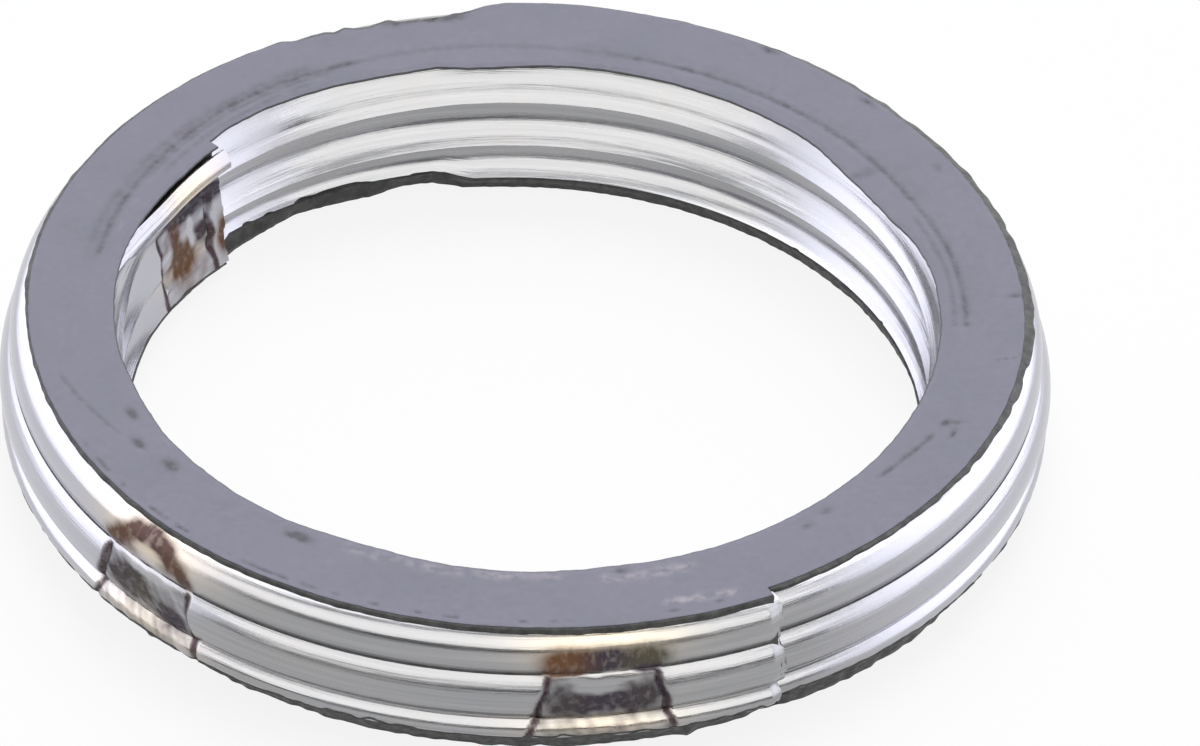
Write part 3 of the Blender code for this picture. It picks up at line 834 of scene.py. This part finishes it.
def steel_material():
    """Rolled stainless steel with its weld burns, and a painted reflection at the ring's sides."""
    material, tree, shader = node_material("rolled_stainless")
    winding = attribute(tree, "winding", "Vector")
    split = tree.nodes.new("ShaderNodeSeparateXYZ")
    tree.links.new(attribute(tree, "scorch", "Vector"), split.inputs["Vector"])
    burn, halo, tint = (split.outputs[axis] for axis in "XYZ")
    streaks = noise(tree, winding, (0.1, 5.0, 1.0), 4.0)
    fine_streaks = noise(tree, winding, (0.5, 22.0, 1.0), 2.0)
    patches = noise(tree, winding, (0.45, 0.5, 1.0), 4.0)
    mottle = noise(tree, winding, (3.2, 3.2, 1.0), 4.0)

    plain = blended(tree, ranged(tree, streaks, 0.35, 0.65, 0.0, 1.0), *STEEL_TONES)
    plain = blended(tree, ranged(tree, patches, 0.45, 0.7, 0.0, 0.4), plain, STEEL_WORN)
    # Painted reflection: paler lavender steel mixed in at the ring's sides and just past the first weld
    painted_reflection = arithmetic(tree, "MULTIPLY", attribute(tree, "painted_reflection", "Fac"), PAINTED_REFLECTION_AMOUNT)
    plain = blended(tree, painted_reflection, plain, STEEL_PAINTED_REFLECTION)
    cream = blended(tree, arithmetic(tree, "MULTIPLY", halo, HALO_AMOUNT), plain, STEEL_HALO)
    ramp = tree.nodes.new("ShaderNodeValToRGB")
    ramp.color_ramp.elements.new(0.5)
    for element, (position, colour) in zip(ramp.color_ramp.elements, BURN_TINTS):
        element.position = position
        element.color = (*colour, 1.0)
    tree.links.new(tint, ramp.inputs["Fac"])
    spotted = arithmetic(tree, "MULTIPLY", burn, ranged(tree, mottle, 0.35, 0.6, 0.84, 1.1))
    colour = blended(tree, spotted, cream, ramp.outputs["Color"])
    tree.links.new(colour, shader.inputs["Base Color"])

    rough = ranged(tree, streaks, 0.3, 0.7, 0.16, 0.32)
    rough = arithmetic(tree, "ADD", rough, arithmetic(tree, "MULTIPLY", burn, 0.22))
    tree.links.new(rough, shader.inputs["Roughness"])
    normal = bumped(tree, fine_streaks, 0.3, 0.012)
    normal = bumped(tree, streaks, 0.3, 0.04, normal)
    normal = bumped(tree, patches, 0.2, 0.1, normal)
    normal = bumped(tree, arithmetic(tree, "MULTIPLY", mottle, burn), 0.6, 0.06, normal)
    tree.links.new(normal, shader.inputs["Normal"])
    shader.inputs["Metallic"].default_value = 1.0
    return material


def graphite_material():
    """Pressed graphite: burnished on its face; its walls and torn edges matt, crumbly and dark, partly
    painted shade.
    """
    material, tree, shader = node_material("pressed_graphite")
    where = tree.nodes.new("ShaderNodeTexCoord").outputs["Object"]
    burnished_vs_painted_shade = attribute(tree, "burnished_vs_painted_shade", "Fac")
    marks = attribute(tree, "marks", "Fac")
    clouds = noise(tree, where, (380.0, 380.0, 380.0), 4.0)
    grain = noise(tree, where, (4200.0, 4200.0, 4200.0), 3.0)
    crumbs = noise(tree, where, (2400.0, 2400.0, 2400.0), 4.0)

    face = blended(tree, ranged(tree, clouds, 0.35, 0.65, 0.0, 1.0), *FACE_TONES)
    face = blended(tree, ranged(tree, grain, 0.35, 0.7, 0.0, 0.35), face, FACE_GRAIN)
    darker = arithmetic(tree, "MULTIPLY", marks, ranged(tree, grain, 0.3, 0.6, 0.8, 1.3))
    face = blended(tree, darker, face, MARK_DARK)
    lighter = arithmetic(tree, "MULTIPLY", marks, -1.0)
    lighter = arithmetic(tree, "MULTIPLY", lighter, ranged(tree, crumbs, 0.4, 0.6, 0.0, 1.6))
    face = blended(tree, lighter, face, MARK_LIGHT)
    # The walls' dark colour: partly matt torn graphite, partly painted shade
    torn_and_shaded_wall = blended(tree, ranged(tree, crumbs, 0.35, 0.7, 0.0, 1.0), *TORN_AND_SHADED_TONES)
    colour = blended(tree, burnished_vs_painted_shade, torn_and_shaded_wall, face)
    tree.links.new(colour, shader.inputs["Base Color"])

    tree.links.new(ranged(tree, grain, 0.3, 0.7, 0.5, 0.72), shader.inputs["Roughness"])
    normal = bumped(tree, grain, 0.25, 0.02)
    rugged = arithmetic(tree, "MULTIPLY", crumbs, arithmetic(tree, "SUBTRACT", 1.15, burnished_vs_painted_shade))
    tree.links.new(bumped(tree, rugged, 0.8, 0.12, normal), shader.inputs["Normal"])
    return material


def make_floor():
    """A white floor that shows the object's shadow faintly."""
    mesh = bpy.data.meshes.new("floor")
    corners = [(x * FLOOR_REACH, y * FLOOR_REACH, 0) for x, y in ((-1, -1), (1, -1), (1, 1), (-1, 1))]
    mesh.from_pydata(corners, [], [(0, 1, 2, 3)])
    floor = bpy.data.objects.new("floor", mesh)
    bpy.context.scene.collection.objects.link(floor)
    material, tree, shader = node_material("floor")
    shader.inputs["Base Color"].default_value = FLOOR_COLOUR
    shader.inputs["Roughness"].default_value = 0.9
    shader.inputs["Specular IOR Level"].default_value = 0.0
    ray = tree.nodes.new("ShaderNodeLightPath")
    seen = arithmetic(tree, "ADD", ray.outputs["Is Camera Ray"], ray.outputs["Is Glossy Ray"])
    seen = arithmetic(tree, "ADD", seen, ray.outputs["Is Transmission Ray"])
    white = tree.nodes.new("ShaderNodeEmission")
    white.inputs["Strength"].default_value = 1.0
    pale = tree.nodes.new("ShaderNodeMixShader")
    tree.links.new(arithmetic(tree, "MULTIPLY", seen, FLOOR_PALE), pale.inputs["Fac"])
    tree.links.new(shader.outputs["BSDF"], pale.inputs[1])
    tree.links.new(white.outputs["Emission"], pale.inputs[2])
    tree.links.new(pale.outputs["Shader"], tree.nodes["Material Output"].inputs["Surface"])
    mesh.materials.append(material)


def area_light(name, azimuth, elevation, distance, width, height, radiance, colour):
    """A soft panel that faces the object, at an azimuth counter-clockwise from +X."""
    light = bpy.data.lights.new(name, "AREA")
    light.shape = "RECTANGLE"
    light.size = width
    light.size_y = height
    light.energy = radiance * math.pi * width * height  # in watts
    light.color = colour
    lamp = bpy.data.objects.new(name, light)
    bpy.context.scene.collection.objects.link(lamp)
    level = distance * math.cos(math.radians(elevation))
    lamp.location = (
        level * math.cos(math.radians(azimuth)),
        level * math.sin(math.radians(azimuth)),
        distance * math.sin(math.radians(elevation)),
    )
    lamp.rotation_euler = (-Vector(lamp.location)).to_track_quat("-Z", "Y").to_euler()
    return lamp


def make_light():
    """A room that is dark in front and bright behind, the key light and the soft panels."""
    world = bpy.data.worlds.new("studio")
    bpy.context.scene.world = world
    world.use_nodes = True
    tree = world.node_tree
    background = tree.nodes["Background"]
    background.inputs["Color"].default_value = WORLD_COLOUR
    where = tree.nodes.new("ShaderNodeTexCoord")
    split = tree.nodes.new("ShaderNodeSeparateXYZ")
    ramp = tree.nodes.new("ShaderNodeMapRange")
    ramp.interpolation_type = "SMOOTHSTEP"
    for name, value in zip(("From Min", "From Max", "To Min", "To Max"), WORLD_FADE + WORLD_STRENGTH):
        ramp.inputs[name].default_value = value
    tree.links.new(where.outputs["Generated"], split.inputs["Vector"])
    tree.links.new(split.outputs["Y"], ramp.inputs["Value"])
    tree.links.new(ramp.outputs["Result"], background.inputs["Strength"])
    area_light(*KEY_LIGHT)
    for panel in PANELS:
        area_light(*panel).visible_diffuse = False


def make_camera():
    """The camera, with the view that was fitted to the photograph."""
    elevation = math.radians(CAMERA_ELEVATION)
    roll = math.radians(CAMERA_ROLL)
    back = Vector((0.0, -math.cos(elevation), math.sin(elevation)))
    right = Vector((1.0, 0.0, 0.0))
    up = back.cross(right)
    turned_right = right * math.cos(roll) + up * math.sin(roll)
    turned_up = up * math.cos(roll) - right * math.sin(roll)
    place_of = (Vector(CAMERA_TARGET) + back * CAMERA_DISTANCE) * MM
    data = bpy.data.cameras.new("camera")
    data.lens = CAMERA_LENS
    data.sensor_width = SENSOR_WIDTH
    data.sensor_fit = "HORIZONTAL"
    data.clip_start, data.clip_end = CAMERA_CLIP
    camera = bpy.data.objects.new("camera", data)
    bpy.context.scene.collection.objects.link(camera)
    turned = Matrix((turned_right, turned_up, back)).transposed().to_4x4()
    camera.matrix_world = Matrix.Translation(place_of) @ turned
    bpy.context.scene.camera = camera


make_camera()
make_strip()
make_graphite()
make_floor()
make_light()
bpy.context.scene.view_settings.view_transform = "Standard"

bpy.context.view_layer.update()
